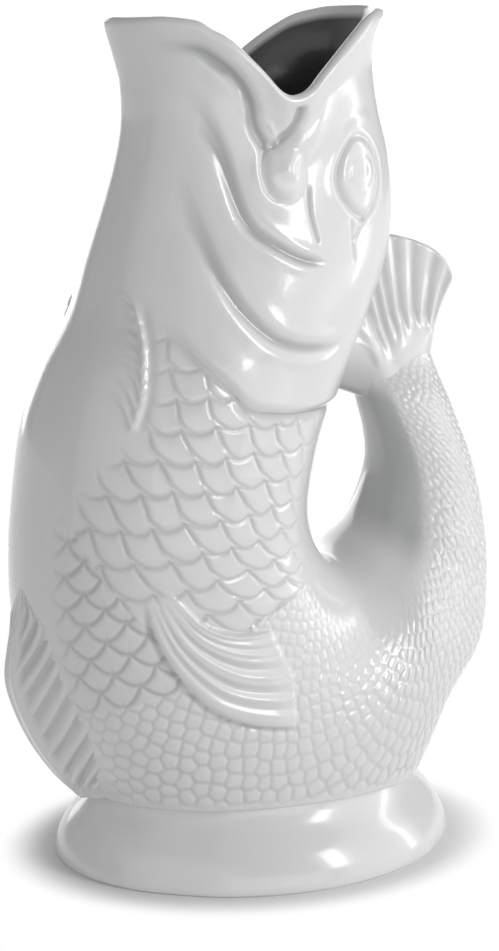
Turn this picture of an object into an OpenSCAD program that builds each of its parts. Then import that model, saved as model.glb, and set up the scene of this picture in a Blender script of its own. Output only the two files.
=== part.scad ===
// Gurgle jug in the shape of a fish, slip-cast white ware.
// Origin on the table under the middle of the jug's length, +Z up, the
// pouring lip towards -X, the tail handle towards +X, both sides alike
// about Y = 0.

/* [Overall] */
// Height from the table to the upper jaw's lip
jug_height = 277; // [220:1:340]
// Length from the belly to the outside of the tail
body_length = 172; // [145:1:205]
// Widest part of the fish
body_width = 98; // [84:1:112]
// Thickness of the cast wall
wall = 4.5; // [3.5:0.1:6]

/* [Foot] */
// Length of the oval foot
foot_length = 137.5; // [120:1:150]
// Width of the oval foot
foot_width = 117; // [104:1:130]
// Height of the foot where the fish sits on it
foot_height = 25; // [18:0.5:32]
// How far the foot draws in from its rim to its neck
foot_draw = 12.5; // [8:0.5:14]
// Radius of the rounded edge that the foot stands on
foot_edge = 1.2; // [0.5:0.1:2.5]
// Thickness of the foot's wall
foot_wall = 7; // [5:0.5:9]
// How far the foot's centre lies behind the middle of the jug's length
foot_shift = 0.3; // [-4:0.1:6]

/* [Mouth] */
// Depth of the notch at each corner of the mouth
notch_depth = 24; // [14:0.5:28]
// Height of the rounded crest on the lip
lip_crest = 1.2; // [0.5:0.1:2]

/* [Tail fan] */
// Thickness of the fan at the tail
fan_root_thickness = 10; // [8:0.5:16]
// Thickness of the fan at its edge
fan_edge_thickness = 5; // [3.5:0.5:7]
// Number of ribs in the fan
fan_ribs = 9; // [6:1:11]
// How far the ribs stand out of the fan
fan_rib_rise = 1.1; // [0.5:0.1:1.8]

/* [Side fins] */
// Number of rays in a side fin
side_fin_rays = 8; // [5:1:10]
// How far a side fin stands out of the body
side_fin_rise = 3.2; // [2:0.1:4.5]
// Depth of the grooves between the rays
side_fin_groove = 1.4; // [0.6:0.1:2]

/* [Throat fins] */
// Number of rays in a throat fin
throat_fin_rays = 5; // [3:1:7]
// How far a throat fin stands out
throat_fin_rise = 1.8; // [1.2:0.1:3]
// Depth of the grooves between its rays
throat_fin_groove = 0.8; // [0.4:0.1:1.2]

/* [Belly fin] */
// How far the belly fin stands out of the belly
belly_fin_rise = 9; // [6:0.5:13]
// Number of ribs on each face of the belly fin
belly_fin_ribs = 9; // [6:1:11]
// Thickness of the belly fin at its edge
belly_fin_edge = 3.2; // [2.4:0.1:4.5]

/* [Head] */
// Rise of the gill cover's free edge
gill_rise = 2.4; // [1.5:0.1:3.5]
// Diameter of the eyeball
eye_diameter = 14; // [10:0.5:16]
// How far the eye stands out
eye_rise = 2.6; // [1.5:0.1:4]
// Thickness of the lid around the eye
lid_thickness = 3; // [2:0.1:4]
// Width of the jaw bone's lower bulb
jaw_bulb = 15; // [10:0.5:18]
// How far the jaw bone stands out
jaw_rise = 3.4; // [1.5:0.1:4]

/* [Node] */
// Sub-part to draw

/* [Hidden] */

// Stations down the fish from the lips to the tail. Each gives the belly
// point and the back point of one cross-section, then its half width:
// x as shares of body_length, z as shares of jug_height, the half width
// as a share of half of body_width.
station_shares = [
  [-0.305, 0.977,  0.259, 0.995, 0.70],
  [-0.279, 0.940,  0.241, 0.960, 0.65],
  [-0.267, 0.903,  0.238, 0.924, 0.63],
  [-0.265, 0.859,  0.250, 0.877, 0.64],
  [-0.279, 0.816,  0.273, 0.823, 0.67],
  [-0.305, 0.765,  0.282, 0.758, 0.72],
  [-0.334, 0.711,  0.259, 0.697, 0.79],
  [-0.363, 0.653,  0.212, 0.635, 0.84],
  [-0.418, 0.592,  0.163, 0.578, 0.88],
  [-0.459, 0.527,  0.119, 0.523, 0.91],
  [-0.477, 0.455,  0.090, 0.469, 0.94],
  [-0.488, 0.375,  0.078, 0.422, 0.96],
  [-0.483, 0.296,  0.090, 0.383, 0.97],
  [-0.448, 0.209,  0.113, 0.359, 0.98],
  [-0.369, 0.105,  0.134, 0.347, 0.99],
  [-0.238, 0.007,  0.154, 0.341, 1.00],
  [-0.032, -0.051, 0.174, 0.341, 1.00],
  [ 0.195, -0.007, 0.198, 0.347, 0.96],
  [ 0.362, 0.134,  0.221, 0.361, 0.84],
  [ 0.504, 0.214,  0.250, 0.383, 0.67],
  [ 0.509, 0.303,  0.270, 0.415, 0.55],
  [ 0.503, 0.375,  0.279, 0.451, 0.45],
  [ 0.483, 0.440,  0.267, 0.487, 0.38],
  [ 0.448, 0.498,  0.247, 0.520, 0.32],
  [ 0.416, 0.549,  0.233, 0.549, 0.27],
  [ 0.395, 0.588,  0.224, 0.578, 0.20]];

// Shape of the mouth's edge: turn from the back of the fish against the
// drop of the edge as a share of notch_depth.
rim_drop_shares = [[0, 0], [25, 0.01], [35, 0.04], [46, 0.11], [57, 0.27],
                   [67, 0.47], [77, 0.70], [84, 0.91], [91, 1], [97, 0.86],
                   [105, 0.54], [117, 0.15], [125, 0.01], [132, -0.07],
                   [146, -0.125], [156, -0.12], [170, -0.03], [180, 0]];
// How far down the stations the notch fades out
rim_fade = 6;

// Turns at which each cross-section is sampled, from the back to the belly
half_turns = [0, 15, 30, 44, 57, 68, 78, 85, 91, 97, 105, 116, 129, 145,
              162, 180];

// Stations where one part of the jug meets the next
neck_station = 8;
tail_station = 20;
end_station = 25;
tail_hollow_end = 24;
// Rings drawn from one station to the next, outside and inside, and the
// stretch over the foot where they lie twice as close
rings = 2;
inner_rings = 1;
close_stations = [13, 19];

side_gap = 0.01;
// How far a seated piece reaches into the body before it is cut to it
seat_depth = 3;
// Overrun of cuts
overrun = 1;

function reach_x(share) = foot_shift + share * body_length;
stations = [for (r = station_shares)
  [reach_x(r[0]), r[1] * jug_height, reach_x(r[2]), r[3] * jug_height,
   r[4] * body_width / 2]];

function blend(a, b, t) = a + (b - a) * t;
function through(a, b, c, d, t) =
  (2 * b + (c - a) * t + (2 * a - 5 * b + 4 * c - d) * t * t
   + (3 * b - a - 3 * c + d) * t * t * t) / 2;
function station_row(s) =
  let (i = min(floor(s), end_station - 1), t = s - i)
  through(stations[max(i - 1, 0)], stations[i], stations[i + 1],
          stations[min(i + 2, end_station)], t);
function rim_fall(s, turn) =
  s >= rim_fade ? 0 :
  notch_depth * lookup(abs(turn), rim_drop_shares)
  * (1 + cos(180 * s / rim_fade)) / 2;

// Point on a cross-section, moved in from the skin by an inset
function ring_point(row, s, turn, inset = 0) =
  let (mid_x = (row[0] + row[2]) / 2, mid_z = (row[1] + row[3]) / 2,
       half_x = (row[2] - row[0]) / 2, half_z = (row[3] - row[1]) / 2,
       reach = norm([half_x, half_z]), k = 1 - inset / reach)
  [mid_x + half_x * k * cos(turn), (row[4] - inset) * sin(turn),
   mid_z + half_z * k * cos(turn) - rim_fall(s, turn)];
function skin_point(s, turn) =
  let (p = ring_point(station_row(s), s, turn))
  [p[0], p[1], max(p[2], foot_height)];

// Turn at which a cross-section reaches a level, or 180 where it stays over
function level_turn(row, inset, level) =
  let (mid_z = (row[1] + row[3]) / 2, half_z = (row[3] - row[1]) / 2,
       k = 1 - inset / norm([(row[2] - row[0]) / 2, half_z]),
       share = half_z == 0 ? 2 : (level - mid_z) / (half_z * k))
  abs(share) < 1 && half_z > 0 ? acos(share) : 180;
function nearest(turn) =
  let (gaps = [for (t = half_turns) abs(t - turn)], least = min(gaps))
  [for (i = [0 : len(half_turns) - 1]) if (gaps[i] == least) i][0];

// Half a ring with the sample nearest the level moved onto it
function level_turns(row, inset, level) =
  let (at = level_turn(row, inset, level),
       n = at < 179 ? min(nearest(at), len(half_turns) - 2) : -1)
  [for (i = [0 : len(half_turns) - 1]) i == n ? at : half_turns[i]];
function full_turns(half) =
  concat(half, [for (i = [len(half) - 2 : -1 : 1]) -half[i]]);
function ring(s, inset, level) =
  let (row = station_row(s))
  [for (turn = full_turns(level_turns(row, inset, level)))
    let (p = ring_point(row, s, turn, inset)) [p[0], p[1], max(p[2], level)]];
ring_size = 2 * len(half_turns) - 2;

// Two triangles of a four-sided cell, split along a shared level line where
// there is one and along the shorter way elsewhere
function on_level(p, level) = abs(p[2] - level) < side_gap;
function cell(points, a, b, c, d, level) =
  let (pa = points[a], pb = points[b], pc = points[c], pd = points[d],
       ac = on_level(pa, level) && on_level(pc, level),
       bd = on_level(pb, level) && on_level(pd, level),
       first = ac && !bd ? true : bd && !ac ? false
               : norm(pa - pc) <= norm(pb - pd))
  first ? [[a, b, c], [a, c, d]] : [[a, b, d], [b, c, d]];
function cells(points, first_ring, last_ring, level, out) =
  [for (i = [first_ring : last_ring - 1], j = [0 : ring_size - 1])
    let (a = i * ring_size + j, b = i * ring_size + (j + 1) % ring_size)
    each out ? cell(points, a, b, b + ring_size, a + ring_size, level)
             : cell(points, a, a + ring_size, b + ring_size, b, level)];
function ring_list(first, last, count = rings) =
  [for (i = [0 : round((last - first) * count * 2)])
    let (s = first + i / count / 2)
    if (i % 2 == 0 || (s > close_stations[0] && s < close_stations[1])) s];

// Solid bounded by the skin between two stations
module skin_solid(first, last) {
  at = ring_list(first, last);
  loops = [for (s = at) ring(s, 0, foot_height)];
  points = [for (l = loops) each l];
  n = len(at) - 1;
  mid_first = len(points);
  ends = [[for (k = [0 : 2]) (loops[0][0][k]
            + loops[0][len(half_turns) - 1][k]) / 2],
          [for (k = [0 : 2]) (loops[n][0][k]
            + loops[n][len(half_turns) - 1][k]) / 2]];
  caps = [for (j = [0 : ring_size - 1]) each
    [[mid_first, (j + 1) % ring_size, j],
     [mid_first + 1, n * ring_size + j,
      n * ring_size + (j + 1) % ring_size]]];
  polyhedron(concat(points, ends),
             concat(cells(points, 0, n, foot_height, true), caps));
}

// Hollow length of the fish between two stations: skin outside, wall
// thickness, inside face. The lip is a ring of points over the first ring,
// and a closed end is drawn to a point in the middle of each last ring.
module hollow_length(first, last, lip = [], inner_last = 0) {
  closed = inner_last > 0;
  at_out = ring_list(first, last);
  at_in = ring_list(first, closed ? inner_last : last, inner_rings);
  n = len(at_out) - 1;
  m = len(at_in) - 1;
  floor_level = foot_height + wall;
  outside = [for (s = at_out) each ring(s, 0, foot_height)];
  inside = [for (s = at_in) each ring(s, wall, floor_level)];
  base = len(outside);
  e = n * ring_size;
  f = base + m * ring_size;
  lip_base = base + len(inside);
  mids = closed ? [(outside[e] + outside[e + len(half_turns) - 1]) / 2,
                   (inside[m * ring_size]
                    + inside[m * ring_size + len(half_turns) - 1]) / 2] : [];
  points = concat(outside, inside, lip, mids);
  last_point = len(points) - 1;
  ends = [for (j = [0 : ring_size - 1]) each
    let (k = (j + 1) % ring_size)
    concat(
      len(lip) == 0 ? cell(points, j, base + j, base + k, k, 0)
      : concat(cell(points, j, lip_base + j, lip_base + k, k, 0),
               cell(points, lip_base + j, base + j, base + k,
                    lip_base + k, 0)),
      closed ? [[last_point - 1, e + j, e + k], [last_point, f + k, f + j]]
      : cell(points, e + j, e + k, f + k, f + j, 0))];
  polyhedron(points,
    concat(cells(points, 0, n, foot_height, true),
           [for (c = cells([for (p = inside) p], 0, m, floor_level, false))
             [for (v = c) v + base]],
           ends));
}

// Plan of the foot: an oval of four arcs, two round the ends and two along
// the sides. Their centres lie on a triangle of 3 : 4 : 5, so that the arcs
// share their tangents where they meet.
oval_step = (foot_length - foot_width) / 4;
foot_end_x = 4 * oval_step;
foot_side_y = 3 * oval_step;
foot_end_radius = foot_length / 2 - foot_end_x;
foot_side_radius = foot_width / 2 + foot_side_y;
// Swept face of the foot, from its upright rim over a full shoulder to the
// cove at its neck: share of foot_draw still to come, share of foot_height
foot_face_shares = [[1, 0.07], [0.97, 0.15], [0.90, 0.26], [0.79, 0.37],
                    [0.65, 0.48], [0.49, 0.58], [0.32, 0.68], [0.17, 0.78],
                    [0.06, 0.88], [0, 1]];
module foot_ring(rim) {
  neck = rim - foot_draw;
  edge = [for (t = [0 : 30 : 90])
    [rim - foot_edge * (1 - sin(t)), foot_edge * (1 - cos(t))]];
  face = [for (f = foot_face_shares)
    [neck + foot_draw * f[0], foot_height * f[1]]];
  inside = [[neck - foot_wall, foot_height],
            [neck - foot_wall, foot_height - foot_wall],
            [rim - foot_wall, foot_wall], [rim - foot_wall, 0]];
  rotate_extrude($fn = 120) polygon(concat(edge, face, inside));
}
// Wedge of the plan between two directions, x over y as the triangle gives
module foot_wedge(directions) {
  translate([0, 0, -overrun])
    linear_extrude(foot_height + 2 * overrun)
      polygon(concat([[0, 0]], [for (d = directions) d * foot_length]));
}
module foot() {
  color([0.93, 0.93, 0.92])
  translate([foot_shift, 0, 0]) {
    for (way = [1, -1]) {
      translate([way * foot_end_x, 0, 0]) intersection() {
        foot_ring(foot_end_radius);
        foot_wedge([[0.8 * way, -0.6], [1.6 * way, 0], [0.8 * way, 0.6]]);
      }
      translate([0, -way * foot_side_y, 0]) intersection() {
        foot_ring(foot_side_radius);
        foot_wedge([[0.8, 0.6 * way], [0, 1.2 * way], [-0.8, 0.6 * way]]);
      }
    }
  }
}

module belly_shell() {
  color([0.95, 0.95, 0.94]) hollow_length(neck_station, tail_station);
}

module head_shell() {
  lip = [for (p = ring(0, wall / 2, foot_height))
         [p[0], p[1], p[2] + lip_crest]];
  color([0.97, 0.97, 0.96]) hollow_length(0, neck_station, lip);
}

module tail_handle() {
  color([0.92, 0.92, 0.91])
    hollow_length(tail_station, end_station, [], tail_hollow_end);
}

// The skin's outward direction
function skin_out(s, turn) =
  let (ds = skin_point(s + 0.05, turn) - skin_point(s - 0.05, turn),
       dt = skin_point(s, turn + 1) - skin_point(s, turn - 1),
       n = cross(ds, dt))
  n / norm(n);
function over_skin(at, rise) =
  skin_point(at[0], at[1]) + skin_out(at[0], at[1]) * rise;
// Place along a row of [station, turn] pairs, by share of its length
function along(path, share) =
  let (u = share * (len(path) - 1), i = min(floor(u), len(path) - 2),
       t = u - i)
  through(path[max(i - 1, 0)], path[i], path[i + 1],
          path[min(i + 2, len(path) - 1)], t);

// Closed solid between an upper and a lower grid of points, row by row
module closed_sheet(top, low, rows, steps) {
  w = steps + 1;
  base = len(top);
  faces = [for (i = [0 : rows - 1], j = [0 : steps - 1]) each
    let (a = i * w + j)
    [[a, a + 1, a + w + 1], [a, a + w + 1, a + w],
     [base + a, base + a + w + 1, base + a + 1],
     [base + a, base + a + w, base + a + w + 1]]];
  sides = concat(
    [for (j = [0 : steps - 1]) each
      let (a = j, b = rows * w + j)
      [[a, base + a, base + a + 1], [a, base + a + 1, a + 1],
       [b, b + 1, base + b + 1], [b, base + b + 1, base + b]]],
    [for (i = [0 : rows - 1]) each
      let (a = i * w, b = i * w + steps)
      [[a, a + w, base + a + w], [a, base + a + w, base + a],
       [b, base + b, base + b + w], [b, base + b + w, b + w]]]);
  polyhedron(concat(top, low), concat(faces, sides));
}

// Patch over the skin from rows of [station, turn, rise]. Its underside
// lies in the body, to be cut to the skin.
module skin_patch(grid) {
  closed_sheet([for (row = grid, g = row) over_skin(g, g[2])],
               [for (row = grid, g = row) over_skin(g, -seat_depth)],
               len(grid) - 1, len(grid[0]) - 1);
}

// Patch between two edges, with one height for each of its points
module skin_sheet(edge_a, edge_b, steps, rows, rises) {
  skin_patch([for (i = [0 : rows]) [for (j = [0 : steps])
    let (p = blend(along(edge_a, j / steps), along(edge_b, j / steps),
                   i / rows)) [p[0], p[1], rises[i][j]]]]);
}

// Round bead laid over the skin along a row of [station, turn] pairs
module skin_bead(path, radius, steps, sink) {
  for (i = [0 : steps - 1])
    hull() {
      translate(over_skin(along(path, i / steps), -sink))
        sphere(r = radius, $fn = 7);
      translate(over_skin(along(path, (i + 1) / steps), -sink))
        sphere(r = radius, $fn = 7);
    }
}

// Side fin, spread from its root on the flank towards the tail
side_fin_top = [[11.4, 118], [11.6, 113.5], [12.0, 107.5], [12.45, 96],
                [12.9, 78]];
side_fin_low = [[11.55, 121], [12.35, 117.5], [12.9, 115], [13.5, 107],
                [14.5, 88]];
side_fin_steps = 8;
// The part of a sine wave that swells the fin from its root to its tip
side_fin_swell = [12, 90];
function ray_wave(i, rows, rays) =
  (1 + cos(360 * rays * i / rows)) / 2;
module side_fin() {
  per_ray = 3;
  rows = side_fin_rays * per_ray;
  rises = [for (i = [0 : rows]) [for (j = [0 : side_fin_steps])
    let (t = j / side_fin_steps,
         swell = sin(blend(side_fin_swell[0], side_fin_swell[1], pow(t, 0.6))),
         edge = min(1, 4 * i / rows + 0.35, 4 * (1 - i / rows) + 0.35))
    swell * edge * (side_fin_rise
      - side_fin_groove * ray_wave(i, rows, side_fin_rays))]];
  difference() {
    union() {
      skin_sheet(side_fin_low, side_fin_top, side_fin_steps, rows, rises);
      skin_bead(side_fin_low, side_fin_rise * 0.75, side_fin_steps, 0);
    }
    skin_solid(neck_station + 2, tail_station - 3);
  }
}
module left_side_fin() {
  color([0.85, 0.9, 0.93]) mirror([0, 1, 0]) side_fin();
}
module right_side_fin() {
  color([0.85, 0.9, 0.93]) side_fin();
}

// Throat fin, a ribbed leaf lying below the lower jaw
throat_fin_front = [[6.75, 162], [7.2, 161], [7.75, 156], [8.25, 149],
                    [8.8, 137]];
throat_fin_rear = [[6.75, 157], [7.06, 147], [7.42, 138], [7.95, 132],
                   [8.75, 133]];
throat_fin_steps = 8;
// The part of a sine wave that swells the leaf from end to end
throat_fin_swell = [20, 160];
module throat_fin() {
  per_ray = 2;
  rows = throat_fin_rays * per_ray;
  rises = [for (i = [0 : rows]) [for (j = [0 : throat_fin_steps])
    let (t = j / throat_fin_steps, swell = sin(blend(throat_fin_swell[0], throat_fin_swell[1], t)),
         edge = min(1, 4 * i / rows + 0.3, 4 * (1 - i / rows) + 0.3))
    swell * edge * (throat_fin_rise
      - throat_fin_groove * ray_wave(i, rows, throat_fin_rays))]];
  difference() {
    union() {
      skin_sheet(throat_fin_front, throat_fin_rear, throat_fin_steps, rows,
                 rises);
      skin_bead(throat_fin_rear, throat_fin_rise * 0.7, throat_fin_steps,
                throat_fin_rise * 0.2);
    }
    skin_solid(neck_station - 3, neck_station + 3);
  }
}
module left_throat_fin() {
  color([0.85, 0.9, 0.93]) mirror([0, 1, 0]) throat_fin();
}
module right_throat_fin() {
  color([0.85, 0.9, 0.93]) throat_fin();
}

// Gill cover, from the crease behind the eye to its free edge
gill_crease = [[4.4, 148], [5.3, 127], [6.2, 116], [6.95, 100],
               [7.45, 78], [7.45, 54], [6.3, 36]];
gill_edge = [[6.45, 162], [7.0, 136], [7.7, 114], [8.4, 93],
             [8.65, 70], [8.65, 46], [7.6, 28]];
gill_steps = 14;
// How fast the cover rises from its ends, and how high it starts
gill_taper = 5;
gill_start = 0.1;
module gill_cover() {
  rows = 3;
  rise_shares = [0.1, 0.4, 0.75, 1];
  rises = [for (i = [0 : rows]) [for (j = [0 : gill_steps])
    let (t = j / gill_steps, swell = min(1, gill_taper * t + gill_start,
                      gill_taper * (1 - t) + gill_start))
    gill_rise * rise_shares[i] * swell]];
  difference() {
    union() {
      skin_sheet(gill_edge, gill_crease, gill_steps, rows,
                 [for (i = [rows : -1 : 0]) rises[i]]);
      skin_bead(gill_edge, gill_rise * 0.8, gill_steps, gill_rise * 0.1);
    }
    skin_solid(neck_station - 5, neck_station + 3);
  }
}
module left_gill_cover() {
  color([0.9, 0.92, 0.95]) mirror([0, 1, 0]) gill_cover();
}
module right_gill_cover() {
  color([0.9, 0.92, 0.95]) gill_cover();
}

// Jaw bone, a bulb under the notch that runs up beside the upper lip
jaw_path = [[3.85, 99.5], [3.45, 95], [2.95, 88], [2.5, 80], [2.1, 72],
            [1.8, 64]];
jaw_steps = 9;
// Length of the head, as stations, that the bone is seated on
jaw_span = [1, 7];
module jaw_bone() {
  difference() {
    for (i = [0 : jaw_steps - 1])
      hull()
        for (k = [i, i + 1])
          let (t = k / jaw_steps,
               r = jaw_bulb / 2 * (1 - 0.6 * sin(90 * t)))
          translate(over_skin(along(jaw_path, t),
                              jaw_rise * (1 - t / 2) - r))
            sphere(r = r, $fn = 12);
    skin_solid(jaw_span[0], jaw_span[1]);
  }
}
module left_jaw_bone() {
  color([0.88, 0.9, 0.93]) mirror([0, 1, 0]) jaw_bone();
}
module right_jaw_bone() {
  color([0.88, 0.9, 0.93]) jaw_bone();
}

// Eye, a ball inside an almond lid
eye_place = [4.15, 59];
lid_front = [[3.2, 63.5], [3.55, 70], [4.05, 73.5], [4.55, 72], [5.0, 66.5]];
lid_rear = [[3.2, 61], [3.6, 52.5], [4.2, 48.5], [4.7, 53.5], [5.0, 64]];
lid_steps = 8;
// Length of the head, as stations, that the eye is seated on
eye_span = [1, 8];
module eye() {
  rise_shares = [0.5, 0.75, 0.75, 0.5];
  rises = [for (r = rise_shares) [for (j = [0 : lid_steps]) r * lid_thickness
                                  * (0.4 + 0.6 * sin(180 * j / lid_steps))]];
  difference() {
    union() {
      skin_sheet(lid_front, lid_rear, lid_steps, 3, rises);
      translate(over_skin(eye_place, eye_rise - eye_diameter / 2))
        sphere(d = eye_diameter, $fn = 16);
      skin_bead(lid_front, lid_thickness / 2, lid_steps, 0);
      skin_bead(lid_rear, lid_thickness / 2, lid_steps, 0);
    }
    skin_solid(eye_span[0], eye_span[1]);
  }
}
module left_eye() {
  color([0.8, 0.85, 0.9]) mirror([0, 1, 0]) eye();
}
module right_eye() {
  color([0.8, 0.85, 0.9]) eye();
}

// Tail fan: ribs spread from the end of the tail in the jug's middle plane.
// Points as shares of body_length and jug_height.
fan_root_shares = [[0.244, 0.542], [0.308, 0.567], [0.390, 0.580]];
fan_tip_shares = [[0.157, 0.567], [0.198, 0.643], [0.230, 0.704],
                  [0.270, 0.722], [0.332, 0.720], [0.411, 0.700],
                  [0.456, 0.668]];
fan_rib_bend = 1.35;
// Length of the body, as stations, that the fan is kept out of
fan_clear = [3, 15];
// Steps from the fan's root to its edge, and its thickness there as a share
// of the way from fan_root_thickness to fan_edge_thickness
fan_step_shares = [0, 0.3, 0.6, 0.85, 0.96, 1];
fan_thin_shares = [0, 0.55, 0.85, 1, 1, 1.35];
function fan_place(u, v) =
  let (root = along(fan_root_shares, u), tip = along(fan_tip_shares, u))
  [reach_x(blend(root[0], tip[0], pow(v, fan_rib_bend))), 0,
   blend(root[1], tip[1], v) * jug_height];
module tail_fan() {
  per_rib = 3;
  steps = fan_ribs * per_rib;
  rows = len(fan_step_shares) - 1;
  half = [for (i = [0 : rows]) [for (j = [0 : steps])
    let (u = j / steps, rib = (1 - cos(360 * j / per_rib)) / 2,
         round_off = min(1, 6 * u + 0.4, 6 * (1 - u) + 0.4))
    round_off * (blend(fan_root_thickness, fan_edge_thickness,
                       fan_thin_shares[i]) / 2
                 - fan_rib_rise * rib * min(1, 3 * fan_step_shares[i]))]];
  function face(way) = [for (i = [0 : rows], j = [0 : steps])
    fan_place(j / steps, fan_step_shares[i]) + [0, way * half[i][j], 0]];
  color([0.85, 0.9, 0.93])
  difference() {
    closed_sheet(face(1), face(-1), rows, steps);
    skin_solid(fan_clear[0], fan_clear[1]);
    skin_solid(tail_station, end_station);
  }
}

// Belly fin: a ribbed keel down the front. Its ribs slant from the root
// on either side down to the free edge in the middle.
belly_fin_ends = [11.5, 14.1];
belly_fin_rise_shares = [0.05, 0.22, 0.58, 0.95, 1, 0.9, 0.62, 0.3];
belly_fin_turns = [159, 168, 175, 178, 182, 185, 192, 201];
belly_fin_flank_shares = [0.04, 0.16, 0.42, 0.97, 0.97, 0.42, 0.16, 0.04];
belly_fin_lean = 0.5;
module belly_fin() {
  per_rib = 2;
  rows = belly_fin_ribs * per_rib;
  across = len(belly_fin_turns) - 1;
  grid = [for (i = [0 : rows]) [for (j = [0 : across])
    let (share = i / rows, flank = belly_fin_flank_shares[j],
         swell = along(belly_fin_rise_shares, share),
         groove = belly_fin_edge * 0.35 * (i % per_rib) * min(1, 3 * swell))
    [blend(belly_fin_ends[0], belly_fin_ends[1], share)
       - belly_fin_lean * (1 - flank) * (1 - share / 2),
     belly_fin_turns[j], belly_fin_rise * flank * swell + groove * flank]]];
  crest = [for (i = [0 : belly_fin_ribs])
    let (share = i / belly_fin_ribs)
    [blend(belly_fin_ends[0], belly_fin_ends[1], share), 180,
     belly_fin_rise * along(belly_fin_rise_shares, share)
       - belly_fin_edge * 0.4]];
  color([0.85, 0.9, 0.93])
  difference() {
    union() {
      skin_patch(grid);
      for (i = [0 : belly_fin_ribs - 1])
        hull()
          for (g = [crest[i], crest[i + 1]])
            translate(over_skin(g, g[2]))
              sphere(d = belly_fin_edge, $fn = 7);
    }
    skin_solid(neck_station, tail_station - 2);
    translate([-body_length, -body_length, -overrun])
      cube([2 * body_length, 2 * body_length, foot_height + overrun]);
  }
}

foot();
belly_shell();
head_shell();
tail_handle();
tail_fan();
left_side_fin();
right_side_fin();
left_throat_fin();
right_throat_fin();
belly_fin();
left_gill_cover();
right_gill_cover();
left_jaw_bone();
right_jaw_bone();
left_eye();
right_eye();
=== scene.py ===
"""Looks of the fish-shaped gurgle jug, white glazed ware.

Every place is in the jug's frame: +Z up, the pouring lip towards -X, the
tail handle towards +X, both sides alike about Y = 0. Sizes are in
millimetres and become metres where a mesh is written. A place on the fish
is a station down its body and a turn about it, from the back at 0 to the
belly at 180.
"""

import math

import bmesh
import bpy
import numpy as np
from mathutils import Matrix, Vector


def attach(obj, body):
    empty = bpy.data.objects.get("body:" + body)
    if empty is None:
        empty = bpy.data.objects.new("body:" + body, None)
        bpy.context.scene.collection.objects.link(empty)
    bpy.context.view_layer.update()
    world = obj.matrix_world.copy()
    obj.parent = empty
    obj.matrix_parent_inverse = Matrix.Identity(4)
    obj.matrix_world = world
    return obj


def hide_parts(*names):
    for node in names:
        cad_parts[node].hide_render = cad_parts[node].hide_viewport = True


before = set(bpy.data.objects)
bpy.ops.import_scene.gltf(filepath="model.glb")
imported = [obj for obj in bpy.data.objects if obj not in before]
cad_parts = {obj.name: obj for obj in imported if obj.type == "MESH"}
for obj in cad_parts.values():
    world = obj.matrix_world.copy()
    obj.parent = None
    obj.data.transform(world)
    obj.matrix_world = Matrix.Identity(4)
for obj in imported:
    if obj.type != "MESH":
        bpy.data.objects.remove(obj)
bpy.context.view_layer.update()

MM = 0.001
WELD = 0.002 * MM
SHARP_ANGLE = 62.0
FAR_OFF = 1e3

# The fish's driving sizes
JUG_HEIGHT = 277.0
BODY_LENGTH = 172.0
BODY_WIDTH = 98.0
WALL = 4.5
LIP_CREST = 2.2
NOTCH_DEPTH = 24.0
RIM_FADE = 6.0

# The foot's sizes
FOOT_LENGTH = 137.5
FOOT_WIDTH = 117.0
FOOT_HEIGHT = 25.0
FOOT_DRAW = 12.5
FOOT_WALL = 7.0
FOOT_SHIFT = 0.3

# Stations down the fish: belly x and z, back x and z, half width, as
# shares of the body's length, the jug's height and half the body's width
STATION_SHARES = np.array([
    [-0.296, 0.980, 0.259, 0.995, 0.70],
    [-0.279, 0.940, 0.241, 0.960, 0.65],
    [-0.267, 0.903, 0.238, 0.924, 0.63],
    [-0.265, 0.859, 0.250, 0.877, 0.64],
    [-0.279, 0.816, 0.273, 0.823, 0.67],
    [-0.305, 0.765, 0.282, 0.758, 0.72],
    [-0.334, 0.711, 0.259, 0.697, 0.79],
    [-0.363, 0.653, 0.212, 0.635, 0.84],
    [-0.418, 0.592, 0.163, 0.578, 0.88],
    [-0.459, 0.527, 0.119, 0.523, 0.91],
    [-0.477, 0.455, 0.090, 0.469, 0.94],
    [-0.488, 0.375, 0.078, 0.422, 0.96],
    [-0.483, 0.296, 0.090, 0.383, 0.97],
    [-0.448, 0.209, 0.113, 0.359, 0.98],
    [-0.369, 0.105, 0.134, 0.347, 0.99],
    [-0.238, 0.007, 0.154, 0.341, 1.00],
    [-0.032, -0.051, 0.174, 0.341, 1.00],
    [0.195, -0.007, 0.198, 0.347, 0.96],
    [0.362, 0.134, 0.221, 0.361, 0.84],
    [0.474, 0.205, 0.250, 0.383, 0.67],
    [0.505, 0.297, 0.270, 0.415, 0.55],
    [0.503, 0.375, 0.279, 0.451, 0.45],
    [0.483, 0.440, 0.267, 0.487, 0.38],
    [0.448, 0.498, 0.247, 0.520, 0.32],
    [0.416, 0.549, 0.233, 0.549, 0.27],
    [0.395, 0.588, 0.224, 0.578, 0.20]])
LAST_STATION = 25

# Drop of the mouth's edge by turn, as a share of the notch's depth
RIM_TURNS = [0, 25, 35, 46, 57, 67, 77, 84, 91, 97, 105, 117, 125, 132, 146,
             156, 170, 180]
RIM_DROP_SHARES = [0, 0.01, 0.04, 0.11, 0.28, 0.49, 0.75, 0.955, 1.03, 0.945,
                   0.66, 0.295, 0.15, 0.03, -0.03, -0.035, -0.035, -0.04]
RIM_SET = 2.4
RIM_SET_END = 1.6

# Stations where one cast length of the fish meets the next, and the line of
# the gill cover's free edge as turns and stations
GILL_TURNS = [0, 39, 58, 75, 91, 102, 119, 134, 163, 180]
GILL_STATIONS = [8.60, 8.66, 8.67, 8.62, 8.47, 8.08, 7.53, 7.05, 6.47, 6.35]
BELLY_STATION = 12.2
FLANK_STATION = 13.9
BASE_STATION = 16.0
TAIL_STATION = 20.0
HOLLOW_END = 24.0
TAIL_PRESS = 0.55
TAIL_PRESS_START = 23.2


# Curves and the fish's form


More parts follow.
